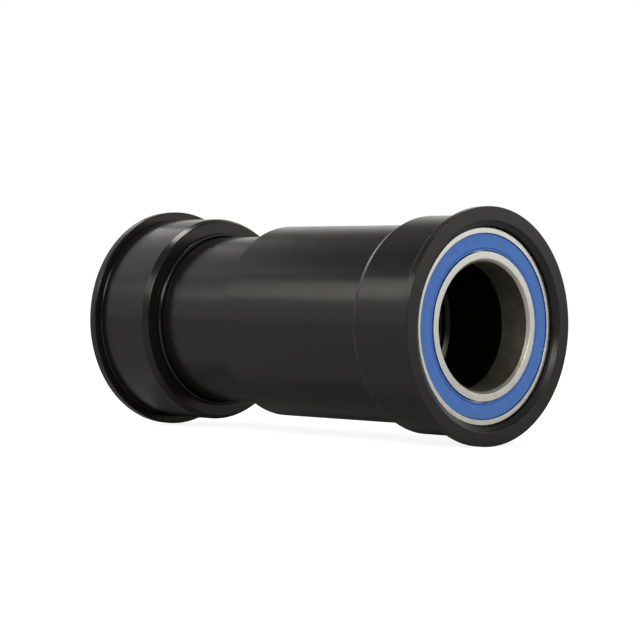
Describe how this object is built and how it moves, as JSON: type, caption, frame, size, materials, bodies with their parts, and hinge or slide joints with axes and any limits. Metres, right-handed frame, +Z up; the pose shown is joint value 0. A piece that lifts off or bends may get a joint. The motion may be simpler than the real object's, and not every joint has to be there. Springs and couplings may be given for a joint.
{
  "type": "bottom bracket",
  "caption": "Thread-together press-fit bottom bracket: two flanged cups screw together inside the frame's shell and carry the crank spindle in sealed ball bearings.",
  "frame": {"origin": "on the spindle axis, midway between the two flanges", "axes": "+X along the spindle axis to the drive-side cup, whose barrel is the long one, +Z up, +Y to the rear"},
  "size_m": [0.0896, 0.0442, 0.0442],
  "materials": {
    "black_anodised": "satin black anodised, turned",
    "race_steel": "ground bearing steel",
    "ball_steel": "polished",
    "cage_steel": "pressed sheet",
    "rivet_steel": "plain",
    "core_steel": "plain sheet",
    "seal_rubber": "moulded blue nitrile",
    "o_ring_rubber": "greased black nitrile"
  },
  "bodies": {
    "drive_cup": {"drive_side_cup": "black_anodised", "drive_bearing_outer_race": "race_steel", "drive_bearing_seal_outboard": "seal_rubber", "drive_bearing_seal_inboard": "seal_rubber", "drive_bearing_seal_core_outboard": "core_steel", "drive_bearing_seal_core_inboard": "core_steel"},
    "o_ring": {"neck_o_ring": "o_ring_rubber"},
    "non_drive_cup": {"non_drive_cup": "black_anodised", "non_drive_bearing_outer_race": "race_steel", "non_drive_bearing_seal_outboard": "seal_rubber", "non_drive_bearing_seal_inboard": "seal_rubber", "non_drive_bearing_seal_core_outboard": "core_steel", "non_drive_bearing_seal_core_inboard": "core_steel"},
    "drive_inner_race": {"drive_bearing_inner_race": "race_steel"},
    "drive_ball_train": {"drive_bearing_balls": "ball_steel", "drive_bearing_cage_outboard": "cage_steel", "drive_bearing_cage_inboard": "cage_steel", "drive_bearing_cage_rivets": "rivet_steel"},
    "non_drive_inner_race": {"non_drive_bearing_inner_race": "race_steel"},
    "non_drive_ball_train": {"non_drive_bearing_balls": "ball_steel", "non_drive_bearing_cage_outboard": "cage_steel", "non_drive_bearing_cage_inboard": "cage_steel", "non_drive_bearing_cage_rivets": "rivet_steel"}
  },
  "joints": [
    {"name": "cup_travel", "type": "slide", "parent": "drive_cup", "child": "o_ring", "axis": [-1, 0, 0], "range_m": [-0.00375, 0.0135]},
    {"name": "cup_turn", "type": "hinge", "parent": "o_ring", "child": "non_drive_cup", "pos_m": [0, 0, 0], "axis": [-1, 0, 0], "range_deg": [-900, 3240]},
    {"name": "drive_race_spin", "type": "hinge", "parent": "drive_cup", "child": "drive_inner_race", "pos_m": [0.04005, 0, 0], "axis": [1, 0, 0], "continuous": true},
    {"name": "drive_cage_spin", "type": "hinge", "parent": "drive_cup", "child": "drive_ball_train", "pos_m": [0.04005, 0, 0], "axis": [1, 0, 0], "continuous": true},
    {"name": "non_drive_race_spin", "type": "hinge", "parent": "non_drive_cup", "child": "non_drive_inner_race", "pos_m": [-0.04005, 0, 0], "axis": [1, 0, 0], "continuous": true},
    {"name": "non_drive_cage_spin", "type": "hinge", "parent": "non_drive_cup", "child": "non_drive_ball_train", "pos_m": [-0.04005, 0, 0], "axis": [1, 0, 0], "continuous": true}
  ],
  "couplings": [
    {"joint": "cup_travel", "follows": "cup_turn", "m_per_rad": 0.00023873},
    {"joint": "drive_cage_spin", "follows": "drive_race_spin", "ratio": 0.44262},
    {"joint": "non_drive_cage_spin", "follows": "non_drive_race_spin", "ratio": 0.44262}
  ]
}
